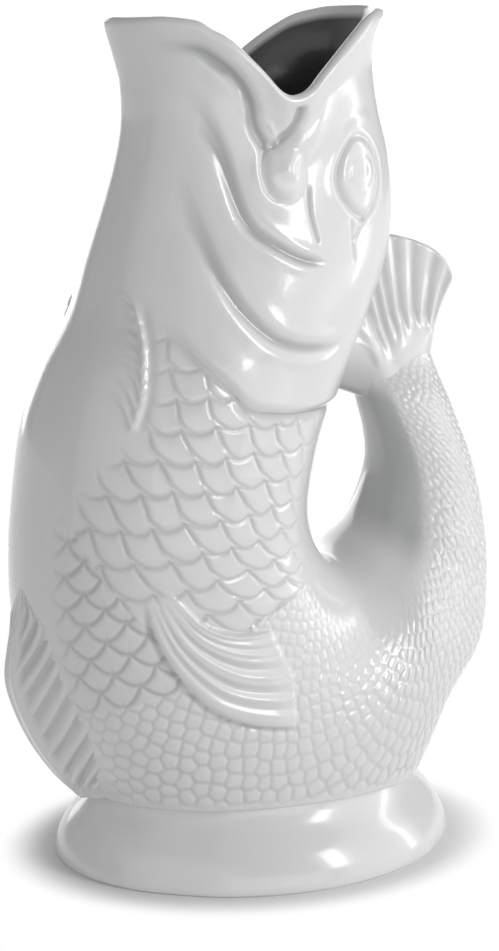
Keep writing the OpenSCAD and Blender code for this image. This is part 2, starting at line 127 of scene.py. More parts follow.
def through(a, b, c, d, t):
    """Smooth curve through b and c, t of the way from one to the other."""
    return (2 * b + (c - a) * t + (2 * a - 5 * b + 4 * c - d) * t * t
            + (3 * b - a - 3 * c + d) * t * t * t) / 2


def along(rows, place):
    """Rows of values at fractional places, smoothly between the rows."""
    rows = np.asarray(rows, float)
    last = len(rows) - 1
    i = np.clip(np.floor(place).astype(int), 0, last - 1)
    t = (place - i)[..., None]
    return through(rows[np.maximum(i - 1, 0)], rows[i], rows[i + 1],
                   rows[np.minimum(i + 2, last)], t)


def smooth(value, start, end):
    """0 before start, 1 after end, with a soft rise between them."""
    t = np.clip((value - start) / (end - start), 0, 1)
    return t * t * (3 - 2 * t)


def hump(distance, width):
    """A round crest of height 1 that dies away over a width."""
    return np.exp(-(distance / width) ** 2)


RIM_LINE = along(np.column_stack([RIM_TURNS, RIM_DROP_SHARES]),
                 np.linspace(0, len(RIM_TURNS) - 1, 600))


def fish_section(station, turn, inset=0.0, level=FOOT_HEIGHT):
    """Place on a cross-section of the fish, set in from its skin."""
    row = along(STATION_SHARES, station)
    belly_x = FOOT_SHIFT + row[..., 0] * BODY_LENGTH
    belly_z = row[..., 1] * JUG_HEIGHT
    back_x = FOOT_SHIFT + row[..., 2] * BODY_LENGTH
    back_z = row[..., 3] * JUG_HEIGHT
    half_x = (back_x - belly_x) / 2
    half_z = (back_z - belly_z) / 2
    keep = 1 - inset / np.hypot(half_x, half_z)
    angle = np.radians(turn)
    fade = np.clip(station / RIM_FADE, 0, 1)
    drop = np.interp(turn, RIM_LINE[:, 0], RIM_LINE[:, 1])
    fall = NOTCH_DEPTH * drop * (1 + np.cos(np.pi * fade)) / 2
    fall = fall + RIM_SET * (1 - smooth(station, 0, RIM_SET_END))
    x = (belly_x + back_x) / 2 + half_x * keep * np.cos(angle)
    y = (row[..., 4] * BODY_WIDTH / 2 - inset) * np.sin(angle)
    z = (belly_z + back_z) / 2 + half_z * keep * np.cos(angle) - fall
    return np.stack([x, y, np.maximum(z, level)], axis=-1)


def unit(vectors):
    """Vectors of length 1."""
    length = np.linalg.norm(vectors, axis=-1, keepdims=True)
    return vectors / np.maximum(length, 1e-9)


STATION_STEP = 0.02
TURN_STEP = 0.4


def skin_frame(station, turn):
    """Place, outward direction and the skin's stretch by station and turn."""
    place = fish_section(station, turn)
    down = (fish_section(station + STATION_STEP, turn)
            - fish_section(station - STATION_STEP, turn)) / (2 * STATION_STEP)
    about = (fish_section(station, turn + TURN_STEP)
             - fish_section(station, turn - TURN_STEP)) / (2 * TURN_STEP)
    out = unit(np.cross(down, about))
    return place, out, np.linalg.norm(down, axis=-1), np.linalg.norm(about, axis=-1)


GILL_LINE = along(np.column_stack([GILL_TURNS, GILL_STATIONS]),
                  np.linspace(0, len(GILL_TURNS) - 1, 400))


def gill_line(turn):
    """Station of the gill cover's free edge at each turn."""
    return np.interp(turn, GILL_LINE[:, 0], GILL_LINE[:, 1])


def turns_at(station, points):
    """Turn of a line of [station, turn] points at each station."""
    return np.interp(station, [p[0] for p in points], [p[1] for p in points])


LINE_TURNS = 16
ROLL_PLACE = 2.1
ROLL_WIDTH = 0.9


class Skin:
    """Half of the fish's skin at a grid of stations and turns, and its relief."""

    def __init__(self, station, turn):
        self.station = station
        self.turn = turn
        self.place, self.out, self.per_station, self.per_turn = skin_frame(station, turn)
        self.rise = np.zeros(station.shape)

    def line(self, points, steps=44, margin=0.9):
        """Distance to a line through [station, turn] points, and the share along it.

        Only the skin within margin stations and LINE_TURNS of the line is
        measured; the rest is far off.
        """
        path = along(points, np.linspace(0, len(points) - 1, steps))
        low = path.min(axis=0) - [margin, LINE_TURNS]
        high = path.max(axis=0) + [margin, LINE_TURNS]
        near = ((self.station > low[0]) & (self.station < high[0])
                & (self.turn > low[1]) & (self.turn < high[1]))
        gap = np.full(self.station.shape, FAR_OFF)
        share = np.zeros(self.station.shape)
        spots = fish_section(path[:, 0], path[:, 1])
        place = self.place[near]
        best = np.full(len(place), FAR_OFF)
        reached = np.zeros(len(place))
        for k in range(steps - 1):
            a = spots[k]
            ab = spots[k + 1] - a
            t = np.clip(((place - a) @ ab) / max(ab @ ab, 1e-9), 0, 1)
            here = np.linalg.norm(place - a - t[:, None] * ab, axis=-1)
            closer = here < best
            best = np.where(closer, here, best)
            reached = np.where(closer, (k + t) / (steps - 1), reached)
        gap[near] = best
        share[near] = reached
        return gap, share

    def groove(self, points, widths, depth, rolls=0.0, tapers=(0.12, 0.12)):
        """A soft groove along a line, its width from end to end, with low rolls."""
        gap, share = self.line(points)
        fade = smooth(share, 0, tapers[0]) * smooth(1 - share, 0, tapers[1])
        width = widths[0] + (widths[1] - widths[0]) * share
        self.rise -= depth * fade * hump(gap, width)
        self.rise += (rolls * fade * smooth(share, 0.2, 0.8)
                      * hump(gap - ROLL_PLACE * width, ROLL_WIDTH * width))

    def ridge(self, points, width, height, tapers=(0.15, 0.15)):
        """A round ridge along a line."""
        gap, share = self.line(points)
        fade = smooth(share, 0, tapers[0]) * smooth(1 - share, 0, tapers[1])
        self.rise += height * fade * hump(gap, width)

    def mound(self, at, radius, height, power=1.5):
        """A round mound about one place."""
        spot = fish_section(np.array(at[0]), np.array(at[1]))
        gap = np.linalg.norm(self.place - spot, axis=-1) / radius
        self.rise += height * np.clip(1 - gap ** 2, 0, 1) ** power


# Relief of the head, as lines of [station, turn]


LIP_GROOVE = [[0.70, 156], [0.74, 140], [0.80, 126], [0.98, 117.5], [1.25, 112.5],
              [1.70, 110], [2.20, 110], [2.60, 108.3], [2.90, 104.5]]
LIP_STRIPE = [[1.00, 121], [1.25, 117], [1.60, 114.3], [2.00, 113.8], [2.45, 113.2]]
LIP_BAND = [[0.38, 122], [0.62, 110], [1.10, 105.5], [1.70, 104], [2.25, 103.5]]
LIP_CORNER = [[1.70, 102.5], [2.05, 100.6], [2.30, 99.2], [2.52, 99.4]]
UPPER_LIP_CREASE = [[0.15, 88.5], [0.60, 88.6], [1.00, 89.6], [1.50, 92.6],
                    [2.00, 96.2], [2.50, 99.8], [2.90, 103]]
UPPER_LIP_ROLLS = [[[0.40, 83], [1.00, 84.5], [1.80, 89], [2.60, 95]],
                   [[1.00, 72], [1.70, 77], [2.50, 84], [3.30, 90.5]]]
JAW_OUTLINE = [[2.85, 103.5], [3.15, 106], [3.60, 107.4], [4.00, 107], [4.30, 104.8],
               [4.43, 101], [4.43, 95.5]]
JAW_PLACE = [3.75, 100.5]
JAW_BONE = [[3.95, 98], [3.40, 97], [2.90, 94.5], [2.40, 89], [1.97, 80], [1.60, 68]]
JAW_BONE_CREASE = [[3.95, 93.5], [3.40, 92.2], [2.90, 89], [2.40, 82.5], [2.05, 74]]
CHEEK_SLIT = [[4.02, 88.2], [4.40, 88.6], [4.80, 87.8], [5.15, 85.8], [5.48, 83]]
GILL_FIRST = [[1.90, 141], [2.50, 134.5], [3.00, 129.5], [3.50, 125], [4.00, 121.5],
              [4.50, 117.5], [4.90, 113.5], [5.20, 108.5], [5.42, 102], [5.60, 96],
              [5.74, 90], [5.82, 84], [5.86, 77]]
GILL_SECOND = [[3.40, 144.5], [4.00, 140], [4.50, 136.5], [5.00, 131.5], [5.50, 126],
               [6.00, 119.8], [6.50, 111.5], [6.80, 105], [7.05, 98], [7.25, 90],
               [7.38, 80], [7.43, 68], [7.38, 58], [7.10, 49]]
FIRST_BULGE = [[3.00, 136], [4.00, 131], [5.00, 123.5], [5.80, 113], [6.30, 102]]
SECOND_BULGE = [[5.00, 139.5], [6.00, 131], [7.00, 118.5], [7.65, 105], [8.00, 92]]
EYE_PLACE = [4.10, 61.5]
EYE_HALF_TALL = 0.90
EYE_HALF_WIDE = 13.5
TEARS = [[[4.99, 69], [5.20, 67.4], [5.50, 66.2], [5.88, 63]],
         [[5.02, 60], [5.20, 63.5], [5.42, 66]]]
BROW = [[2.95, 70], [2.80, 62], [2.85, 50], [3.05, 38]]
LONG_TAPERS = (0.3, 0.3)
EYEBALL_RISE = 1.35
LID_EDGE = 1.02
LID_GROOVE = 0.62
LID_ROLL = 0.25
LID_ROLL_PLACE = 1.36
IRIS_GROOVE = 0.30
IRIS_GROOVE_PLACE = 0.66
IRIS_ROLL = 0.12
IRIS_ROLL_PLACE = 0.50
PUPIL_RISE = 0.30
PUPIL_SIZE = 0.30


def head_relief(skin):
    """Lips, jaw bone, eye and the two folds of the gill cover."""
    skin.ridge(LIP_BAND, width=2.6, height=0.55)
    skin.groove(LIP_GROOVE, widths=(2.2, 2.0), depth=1.55, tapers=(0.30, 0.06))
    skin.ridge(LIP_STRIPE, width=1.1, height=0.35)
    skin.ridge(LIP_CORNER, width=0.9, height=0.35)
    skin.groove(UPPER_LIP_CREASE, widths=(2.0, 1.6), depth=1.45, rolls=0.12,
                tapers=(0.12, 0.02))
    for roll in UPPER_LIP_ROLLS:
        skin.ridge(roll, width=1.6, height=0.28, tapers=LONG_TAPERS)
    skin.mound(JAW_PLACE, radius=10.0, height=2.3)
    skin.groove(JAW_OUTLINE, widths=(1.7, 1.1), depth=1.30, rolls=0.12, tapers=(0.03, 0.2))
    skin.ridge(JAW_BONE, width=3.2, height=1.25, tapers=(0.15, 0.3))
    skin.groove(JAW_BONE_CREASE, widths=(1.1, 1.1), depth=0.35, tapers=LONG_TAPERS)
    skin.groove(CHEEK_SLIT, widths=(0.8, 0.7), depth=0.75, rolls=0.18)
    skin.groove(GILL_FIRST, widths=(3.2, 1.3), depth=1.35, rolls=0.24, tapers=(0.30, 0.12))
    skin.groove(GILL_SECOND, widths=(4.0, 1.5), depth=1.40, rolls=0.28, tapers=(0.42, 0.2))
    skin.ridge(FIRST_BULGE, width=5.0, height=0.50, tapers=LONG_TAPERS)
    skin.ridge(SECOND_BULGE, width=5.5, height=0.60, tapers=LONG_TAPERS)
    eye_relief(skin)
    gill_edge_relief(skin)


def eye_relief(skin):
    """An almond eye: eyeball, iris, pupil, lids and the creases below it."""
    down = (skin.station - EYE_PLACE[0]) / EYE_HALF_TALL
    across = (skin.turn - EYE_PLACE[1]) / EYE_HALF_WIDE
    almond = np.abs(across) ** 1.45 + down ** 2
    ball = across ** 2 * 1.15 + down ** 2 * 1.1
    inside = smooth(LID_EDGE - almond, 0, 0.30)
    skin.rise += EYEBALL_RISE * inside * np.clip(1 - ball, 0, 1) ** 0.6
    skin.rise -= LID_GROOVE * hump(almond - LID_EDGE, 0.17)
    skin.rise += LID_ROLL * hump(almond - LID_ROLL_PLACE, 0.20)
    ring = np.sqrt(across ** 2 * 1.25 + down ** 2 * 2.6)
    skin.rise -= IRIS_GROOVE * hump(ring - IRIS_GROOVE_PLACE, 0.09)
    skin.rise += IRIS_ROLL * hump(ring - IRIS_ROLL_PLACE, 0.10)
    skin.rise += PUPIL_RISE * np.clip(1 - (ring / PUPIL_SIZE) ** 2, 0, 1)
    skin.groove(BROW, widths=(1.8, 1.8), depth=0.30, tapers=LONG_TAPERS)
    for tear in TEARS:
        skin.groove(tear, widths=(0.7, 0.6), depth=0.50, rolls=0.12)


GILL_EDGE_LEAN = 0.93
GILL_EDGE_RISE = 1.35
GILL_EDGE_REACH = 13.0
GILL_EDGE_GROOVE = 0.75
GILL_EDGE_LAST_TURN = 146


def gill_edge_relief(skin):
    """The gill cover's free edge stands over the scales behind it."""
    above = (gill_line(skin.turn) - skin.station) * skin.per_station * GILL_EDGE_LEAN
    fade = smooth(GILL_EDGE_LAST_TURN - skin.turn, 0, 34)
    cover = (smooth(above, -0.6, 3.2) * GILL_EDGE_RISE
             * np.exp(-np.maximum(above, 0) / GILL_EDGE_REACH))
    skin.rise += fade * cover
    skin.rise -= fade * GILL_EDGE_GROOVE * hump(above + 0.6, 2.0)


# Relief of the body


SCALE_GROOVE = 0.68
SHOULDER_SHARE = 0.2
SHOULDER_WIDTH = 3.4


def outline_groove(gap, width):
    """A narrow groove whose shoulders the glaze has rounded."""
    shoulders = SHOULDER_SHARE * hump(gap, SHOULDER_WIDTH * width)
    return (1 - SHOULDER_SHARE) * hump(gap, width) + shoulders


def round_corner(left, bottom, radius):
    """Distance inside a scale's left and bottom edges, with its corner rounded."""
    corner = (left < radius) & (bottom < radius)
    return np.where(corner, radius - np.hypot(radius - left, radius - bottom),
                    np.minimum(left, bottom))


LEANING_WIDTH = 12.4
LEANING_ROW = 0.53
LEANING_SLANT = 11.9
LEANING_COLUMN = 205.8
LEANING_FIRST_ROW = 9.30
LEANING_WANDER = 0.05
LEANING_SAG = 0.15
LEANING_CORNER = 0.52
LEANING_GROOVE = 0.60
LEANING_TILT = (0.18, 0.14)


def leaning_scales(skin):
    """Scales under the gill cover, in columns that lean, each with a round corner."""
    s = skin.station
    t = skin.turn
    column = (t + LEANING_SLANT * s - LEANING_COLUMN) / LEANING_WIDTH
    row = (s - LEANING_FIRST_ROW) / LEANING_ROW
    slant = 1 / np.hypot(1, LEANING_SLANT * skin.per_turn / skin.per_station)
    across = LEANING_WIDTH * skin.per_turn * slant
    down = LEANING_ROW * skin.per_station
    row = row + LEANING_WANDER * np.sin(t / 6.1 + 2.7 * s)
    column = column + LEANING_WANDER * np.sin(t / 8.3 - 3.9 * s)
    within = column - np.floor(column)
    row = row - LEANING_SAG * np.sin(np.pi * within)
    left = (1 - within) * across
    bottom = (1 - (row - np.floor(row))) * down
    radius = LEANING_CORNER * np.minimum(across, down)
    edges = [round_corner(left, bottom, radius), round_corner(left - across, bottom, radius),
             round_corner(left, bottom - down, radius), bottom, down - bottom]
    gap = np.min(np.abs(edges), axis=0)
    tilt = ((0.5 - left / across) * LEANING_TILT[0]
            + (0.5 - bottom / down) * LEANING_TILT[1])
    return tilt - LEANING_GROOVE * outline_groove(gap, SCALE_GROOVE)


ARCH_POWER = 2.0


def arched_scales(skin, width, row, centre, first_row, groove, wander):
    """Scales with round free edges, each row half a scale on from the last."""
    s = skin.station
    t = skin.turn
    s = s + wander * row * np.sin(t / 5.3 + 3.1 * s) * np.cos(2.3 * s - t / 11.0)
    t = t + wander * width * np.sin(s * 4.1 + t / 7.0) * np.cos(s * 1.7 - t / 13.0)
    nearest = np.full(s.shape, FAR_OFF)
    last = np.floor((s - first_row) / row)
    for step in range(-1, 3):
        n = last + step
        u = (t - centre) / width - 0.5 * (n % 2)
        u = u - np.round(u)
        edge = first_row + row * n - row * np.abs(2 * u) ** ARCH_POWER
        slope = (row * 2 * ARCH_POWER * np.abs(2 * u) ** (ARCH_POWER - 1) / width
                 * skin.per_station / skin.per_turn)
        gap = np.abs(edge - s) * skin.per_station / np.hypot(1, slope)
        nearest = np.minimum(nearest, gap)
    return -outline_groove(nearest, groove)


def uneven(row, column, seed):
    """A number from -0.5 to 0.5 for each scale, that looks like chance."""
    value = np.sin(row * 12.9898 + column * 78.233 + seed) * 437.585
    return value - np.floor(value) - 0.5


PEBBLE_DOME = 0.45
PEBBLE_REACH = 0.62


def pebble_scales(skin, width, row, groove, scatter):
    """Small round scales, crowded and uneven, with soft grooves between them."""
    first = np.full(skin.rise.shape, FAR_OFF)
    second = np.full(skin.rise.shape, FAR_OFF)
    middle = np.round(skin.station / row)
    for step in (-1, 0, 1):
        n = middle + step
        shift = 0.5 * (n % 2)
        nearest = np.round(skin.turn / width - shift)
        for side in (-1, 0, 1):
            m = nearest + side
            down = skin.station - row * (n + scatter * uneven(n, m, 0.3))
            around = skin.turn - width * (m + shift + scatter * uneven(n, m, 4.1))
            gap = np.hypot(down * skin.per_station, around * skin.per_turn)
            second = np.minimum(second, np.maximum(first, gap))
            first = np.minimum(first, gap)
    size = width * skin.per_turn
    dome = PEBBLE_DOME * np.clip(1 - (first / (PEBBLE_REACH * size)) ** 2, 0, 1)
    return dome - outline_groove((second - first) / 2, groove)


FIRST_SCALES = [[6.6, 150], [7.2, 142.5], [7.7, 136], [8.2, 132.5], [8.8, 132.5],
                [9.0, 137], [9.5, 147], [10.0, 156], [10.4, 163], [16.0, 167]]
ARCHED_HEIGHT = 0.80
ARCHED_TURN = 131
ARCHED_LEAST_TURN = 112
ARCHED_STATION = 11.5
ARCHED_SLOPE = 18
PEBBLE_SPLIT_TURN = 86
PEBBLE_STATIONS = (12.55, 13.05)
PEBBLE_HEIGHT = 0.32
PEBBLE_HEIGHT_LOW = 0.14
TAIL_SCALE_HEIGHT = 0.38
TAIL_SCALE_STATION = 19.3


def scales_relief(skin):
    """Four kinds of scales, each where it lies on the fish.

    Leaning ones lie under the gill cover, arched ones on the low flank,
    pebbles below them and finer pebbles on the tail.
    """
    s = skin.station
    t = skin.turn
    below_gill = (s - gill_line(t)) * skin.per_station
    behind = smooth(below_gill, 0.5, 4.0)
    front = smooth(turns_at(s, FIRST_SCALES) - t, 0.0, 13.0)
    border = np.maximum(ARCHED_TURN + ARCHED_SLOPE * (ARCHED_STATION - s), ARCHED_LEAST_TURN)
    low = smooth(t - border, -0.8, 0.8)
    small_start = np.where(t < PEBBLE_SPLIT_TURN, *PEBBLE_STATIONS)
    small = smooth(s - small_start, -0.03, 0.03)
    tail = smooth(s - TAIL_SCALE_STATION, -0.3, 0.3)
    end = smooth(LAST_STATION - s, 0, 0.9)
    leaning = leaning_scales(skin)
    arched = arched_scales(skin, width=15.6, row=0.25, centre=146.0, first_row=11.80,
                           groove=SCALE_GROOVE, wander=0.05)
    pebbles = pebble_scales(skin, width=6.9, row=0.165, groove=0.58, scatter=0.36)
    tail_pebbles = pebble_scales(skin, width=12.5, row=0.15, groove=0.65, scatter=0.45)
    pebble_height = PEBBLE_HEIGHT + PEBBLE_HEIGHT_LOW * smooth(t, 85, 110)
    rise = (1 - low) * (1 - small) * smooth(t, 40, 72) * leaning
    rise += ARCHED_HEIGHT * low * (1 - small) * arched
    rise += pebble_height * small * (1 - tail) * smooth(t, 40, 80) * pebbles
    rise += TAIL_SCALE_HEIGHT * tail * end * smooth(t, 36, 62) * tail_pebbles
    skin.rise += rise * behind * front


SIDE_FIN_TOP = [[11.35, 115.5], [11.70, 109.5], [12.10, 104], [12.40, 98],
                [12.65, 90], [12.88, 80]]
SIDE_FIN_LOW = [[11.40, 121.5], [12.10, 119.5], [12.80, 115.5], [13.40, 110.5],
                [13.90, 103], [14.60, 90.5]]
SIDE_FIN_END = [[12.88, 80], [13.95, 80], [14.25, 84.5], [14.50, 88], [14.62, 91]]
SIDE_FIN_PROFILE = [[0.00, 1.00], [0.05, 0.66], [0.10, 0.98], [0.16, 0.48],
                    [0.215, 1.0], [0.255, 0.74], [0.30, 0.98], [0.39, 0.22],
                    [0.475, 0.98], [0.51, 0.88], [0.55, 1.0], [0.64, 0.25],
                    [0.72, 1.0], [0.78, 0.62], [0.815, 0.35], [0.88, 0.85],
                    [0.95, 0.80], [1.0, 0.55]]
SIDE_FIN_ROOT_STATION = 11.35
SIDE_FIN_TOP_STATION = 12.88
SIDE_FIN_LOW_STATION = 14.65
SIDE_FIN_HEIGHT = 1.0
SIDE_FIN_SPREAD = 1.2
SIDE_FIN_SHADOW = 0.55
THROAT_FIN_EDGE = [[6.60, 149.5], [7.00, 145], [7.50, 138], [8.00, 133.2],
                   [8.35, 131.6], [8.85, 131.6]]
THROAT_FIN_EDGE_RISE = 0.55
THROAT_FIN_EDGE_GROOVE = 0.35
THROAT_FIN_RIBS = 9
THROAT_FIN_FIRST_RIB = 0.22
THROAT_FIN_RIB_SPAN = 0.76
THROAT_FIN_RIB_MIDDLE = np.array([-0.42, 6.5])
THROAT_FIN_RIB_START = np.array([-0.62, 15.0])


def side_fin_relief(skin):
    """A fin laid back on the flank, its double rays spreading from the root."""
    top_gap, top_share = skin.line(SIDE_FIN_TOP, steps=90, margin=2.4)
    low_gap, low_share = skin.line(SIDE_FIN_LOW, steps=90)
    top_turn = turns_at(skin.station, SIDE_FIN_TOP)
    low_turn = turns_at(skin.station, SIDE_FIN_LOW)
    length = (top_share + low_share) / 2
    past_top = (skin.turn < top_turn) & (skin.station < SIDE_FIN_TOP_STATION)
    past_low = ((skin.turn > low_turn) | (skin.station < SIDE_FIN_ROOT_STATION)
                | (skin.station > SIDE_FIN_LOW_STATION))
    between = ~past_top & ~past_low
    share = np.where(between, top_gap / np.maximum(top_gap + low_gap, 1e-6),
                     np.where(past_top, 0.0, 1.0))
    profile = np.array(SIDE_FIN_PROFILE)
    fine = np.linspace(0, 1, 200)
    crest = np.convolve(np.pad(np.interp(fine, profile[:, 0], profile[:, 1]), 2, "edge"),
                        np.ones(5) / 5, "valid")
    height = np.interp(share, fine, crest)
    height = 0.50 + (height - 0.50) * smooth(length, 0.0, 0.35)
    reach = SIDE_FIN_HEIGHT + SIDE_FIN_SPREAD * smooth(length, 0.0, 0.7)
    open_end = (skin.turn - turns_at(skin.station, SIDE_FIN_END)) * skin.per_turn
    fade = smooth(open_end, -1.6, 1.2) * smooth(length, 0.0, 0.14)
    reach = reach * (0.55 + 0.45 * smooth(open_end, 0.0, 9.0))
    outside = np.where(between, 0.0, np.minimum(top_gap, low_gap))
    edge = hump(outside, 0.75)
    fin = height * reach * fade * edge
    shown = fade * edge
    skin.rise = skin.rise * (1 - shown) + fin
    skin.rise -= SIDE_FIN_SHADOW * fade * past_low * hump(low_gap - 1.5, 1.0)


def throat_fin_relief(skin):
    """A leaf below the jaw, finely ribbed down to its raised edge."""
    edge = np.array(THROAT_FIN_EDGE)
    gap, share = skin.line(THROAT_FIN_EDGE, steps=120)
    fade = smooth(share, 0, 0.2) * smooth(1 - share, 0, 0.10)
    skin.rise += fade * THROAT_FIN_EDGE_RISE * hump(gap, 1.2)
    beyond = smooth(turns_at(skin.station, THROAT_FIN_EDGE) - skin.turn, 0, 1.5)
    skin.rise -= fade * beyond * THROAT_FIN_EDGE_GROOVE * hump(gap - 2.2, 1.6)
    steps = np.arange(THROAT_FIN_RIBS)
    for tip in THROAT_FIN_FIRST_RIB + THROAT_FIN_RIB_SPAN * steps / (THROAT_FIN_RIBS - 1.0):
        end = along(edge, np.array(tip * (len(edge) - 1)))
        rib = [end + THROAT_FIN_RIB_START, end + THROAT_FIN_RIB_MIDDLE, end]
        skin.ridge(rib, width=0.80, height=0.60, tapers=(0.5, 0.1))


HEAD_RELIEF_END = 10
LIP_SMOOTH = 0.35
NECK_SMOOTH = (0.5, 3.5)


def whole_relief(skin):
    """The relief at every place on the fish, laid flat at the lip and the foot."""
    if skin.station.min() < HEAD_RELIEF_END:
        head_relief(skin)
    scales_relief(skin)
    throat_fin_relief(skin)
    side_fin_relief(skin)
    skin.rise *= smooth(skin.station, 0.0, LIP_SMOOTH)
    above_foot = skin.place[..., 2] - FOOT_HEIGHT
    skin.rise *= smooth(above_foot, *NECK_SMOOTH)


# Meshes


def grid_object(name, places, painted_shade=None, inside_shade=None):
    """A grid of vertices laid on rows of places, joined where edges meet."""
    rows, columns = places.shape[:2]
    bm = bmesh.new()
    bmesh.ops.create_grid(bm, x_segments=columns - 1, y_segments=rows - 1, size=1)
    mesh = bpy.data.meshes.new(name)
    bm.to_mesh(mesh)
    bm.free()
    flat = np.zeros(len(mesh.vertices) * 3, np.float32)
    mesh.vertices.foreach_get("co", flat)
    flat = flat.reshape(-1, 3)
    column = np.rint((flat[:, 0] + 1) / 2 * (columns - 1)).astype(int)
    row = np.rint((flat[:, 1] + 1) / 2 * (rows - 1)).astype(int)
    mesh.vertices.foreach_set("co", (places[row, column] * MM).astype(np.float32).ravel())
    # Per-vertex painted shade: in the grooves and on the tail loop's inner side, and on the
    # jug's inside
    layer = mesh.attributes.new("painted_shade_amount", "FLOAT", "POINT")
    if painted_shade is not None:
        layer.data.foreach_set("value", painted_shade[row, column].astype(np.float32))
    layer = mesh.attributes.new("painted_inside_shade", "FLOAT", "POINT")
    if inside_shade is not None:
        layer.data.foreach_set("value", inside_shade[row, column].astype(np.float32))
    bm = bmesh.new()
    bm.from_mesh(mesh)
    bmesh.ops.remove_doubles(bm, verts=bm.verts, dist=WELD)
    bmesh.ops.dissolve_degenerate(bm, edges=bm.edges, dist=WELD)
    bmesh.ops.recalc_face_normals(bm, faces=bm.faces)
    bm.to_mesh(mesh)
    bm.free()
    mesh.shade_smooth()
    mesh.set_sharp_from_angle(angle=math.radians(SHARP_ANGLE))
    piece = bpy.data.objects.new(name, mesh)
    bpy.context.scene.collection.objects.link(piece)
    return piece


def mirrored(half):
    """Both sides of the fish from the turns 0 to 180 of one side."""
    other = half[:, -2::-1].copy()
    if half.ndim == 3:
        other[..., 1] *= -1
    return np.concatenate([half, other], axis=1)


COARSE_SHARE = 0.45
FLANK_TURN = 110.0


def packed_turns(count):
    """Turns from back to belly, closer together on the flank than elsewhere."""
    fine = np.linspace(0, 180, 1801)
    flank = smooth(fine, 36, 66) * smooth(180 - fine, 0, 10)
    weight = COARSE_SHARE + (1 - COARSE_SHARE) * flank
    total = np.concatenate([[0], np.cumsum((weight[1:] + weight[:-1]) / 2)])
    return np.interp(np.linspace(0, total[-1], count + 1), total, fine)


def distance_down(line):
    """Distance from the first place of a line to each of its places."""
    steps = np.linalg.norm(np.diff(line, axis=0), axis=1)
    return np.concatenate([[0], np.cumsum(steps)])


def even_shares(first, last, step):
    """Shares from one station to the next that lie evenly along the flank."""
    fine = np.linspace(first, last, 400)
    length = distance_down(fish_section(fine, np.full(fine.shape, FLANK_TURN)))
    count = max(int(length[-1] / step), 8)
    return np.interp(np.linspace(0, length[-1], count + 1), length,
                     (fine - first) / (last - first))


def flattened(places, station):
    """The tail's end, pressed flat from both sides towards its fan."""
    pressed = places.copy()
    pressed[..., 1] *= 1 - TAIL_PRESS * smooth(station, TAIL_PRESS_START, LAST_STATION)
    return pressed


# Painted shade: how dark the grooves are painted, and the painted shadow down the tail loop's
# inner side
DEEPEST_PAINTED_SHADE = 1.2
LOOP_PAINTED_SHADOW = 1.15
LOOP_SHADOW_TURN = 58
LOOP_START = (17.5, 19.5)
LOOP_END = 24.6
LIP_ANGLES = np.radians([30, 60, 90, 120, 150])


def cast_length(name, first, last, step, columns, lip=False, closed=False):
    """A hollow length of the fish, from one line of stations to the next.

    first and last give the station for each turn. The rows run up the
    outside, over the lip or the end of the wall, down the inside and back
    to where they started. Each strip of rows has its places, its painted
    shade, darker in the grooves and as a painted shadow down the tail loop's
    inner side, and its share of the painted shade that darkens the jug's inside.
    """
    turn = packed_turns(columns // 2)
    start = first(turn)
    end = last(turn)
    shares = even_shares(float(np.median(start)), float(np.median(end)), step)[::-1]
    station = start + (end - start) * shares[:, None]
    skin = Skin(station, np.broadcast_to(turn, station.shape))
    whole_relief(skin)
    outside = skin.place + skin.out * skin.rise[..., None]
    outside[..., 2] = np.maximum(outside[..., 2], FOOT_HEIGHT)
    outside = flattened(outside, station)
    # Painted shade: deeper grooves are painted darker, and a painted shadow lies on the tail
    # loop's inner side
    painted_shade = np.clip(-skin.rise, 0, DEEPEST_PAINTED_SHADE)
    loop_side = smooth(station, *LOOP_START) * smooth(LOOP_END - station, 0, 1.5)
    painted_shade = painted_shade + LOOP_PAINTED_SHADOW * loop_side * smooth(LOOP_SHADOW_TURN - turn, 0, 16)
    strips = [(outside, painted_shade, 0.0)]
    if lip:
        for angle in LIP_ANGLES:
            row = fish_section(start, turn, WALL / 2 * (1 - math.cos(angle)))
            row[..., 2] += LIP_CREST * math.sin(angle)
            strips.append((row[None], 0.0, 0.0))
    inner_end = np.minimum(end, HOLLOW_END) if closed else end
    inner_shares = np.linspace(0, 1, 26 if lip or closed else 9)
    inner_station = start + (inner_end - start) * inner_shares[:, None]
    inner_turn = np.broadcast_to(turn, inner_station.shape)
    inside = fish_section(inner_station, inner_turn, WALL, FOOT_HEIGHT + WALL)
    inside = flattened(inside, inner_station)
    if closed:
        middle = (inside[-1, 0] + inside[-1, -1]) / 2
        inside = np.concatenate([inside, np.broadcast_to(middle, inside[:1].shape)])
    strips.append((inside[:1], 0.0, 0.0))
    # Painted shade: the inside below the lip is painted dark
    strips.append((inside[1:], 0.0, 1.0))
    if closed:
        tip = (outside[0, 0] + outside[0, -1]) / 2
        strips.insert(0, (np.broadcast_to(tip, outside[:1].shape), 0.0, 0.0))
    else:
        strips.append((outside[:1], painted_shade[:1], 0.0))
    places = np.concatenate([strip[0] for strip in strips])
    painted_shades, inside_shades = (np.concatenate([np.broadcast_to(strip[k], strip[0].shape[:2])
                                     for strip in strips]) for k in (1, 2))
    return grid_object(name, mirrored(places), mirrored(painted_shades), mirrored(inside_shades))


def level_line(station):
    """A line that keeps one station at every turn."""
    return lambda turn: np.full(turn.shape, station)


# Foot


OVAL_STEP = (FOOT_LENGTH - FOOT_WIDTH) / 4
FOOT_PROFILE_SHARES = [[1.00, 0.00], [1.00, 0.07], [0.97, 0.15], [0.90, 0.26],
                       [0.79, 0.37], [0.65, 0.48], [0.49, 0.58], [0.32, 0.68],
                       [0.17, 0.78], [0.06, 0.88], [0.00, 0.98], [0.00, 1.06],
                       [0.04, 1.14]]
FOOT_EDGE = 1.1  # radius of the edge that stands on the table
FOOT_EDGE_ANGLES = np.radians([0, 25, 50, 75, 90])
FOOT_TOP_RISE = 1.0
FOOT_TOP_STEP = 1.5
FOOT_TOP_SEAT = 4.0
ARC_BLEND = 0.22


